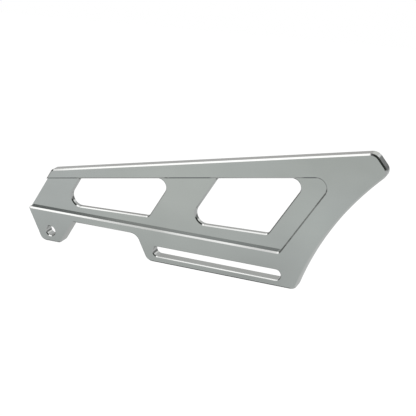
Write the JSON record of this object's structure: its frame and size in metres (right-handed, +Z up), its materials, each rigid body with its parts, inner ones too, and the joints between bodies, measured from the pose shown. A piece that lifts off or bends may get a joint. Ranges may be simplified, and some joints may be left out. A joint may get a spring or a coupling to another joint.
{
  "type": "sprocket cover",
  "caption": "Long, thick, bevelled metal guard plate with a recessed, windowed panel, a bored tab, a slotted flange and a hollow right edge, for the side of a motorbike's chain run.",
  "frame": {"origin": "centre of the round mounting hole in the tab, on the plate's flat back face", "axes": "+X along the straight bottom edge, from the tab towards the tip; +Y out of the flat back face, so the bevelled front looks along -Y; +Z up, from the bottom edge to the top edge"},
  "size_m": [0.3585, 0.0095, 0.1363],
  "materials": {
    "polished_aluminium": "polished"
  },
  "bodies": {
    "root": {"cover_plate": "polished_aluminium"}
  },
  "joints": []
}
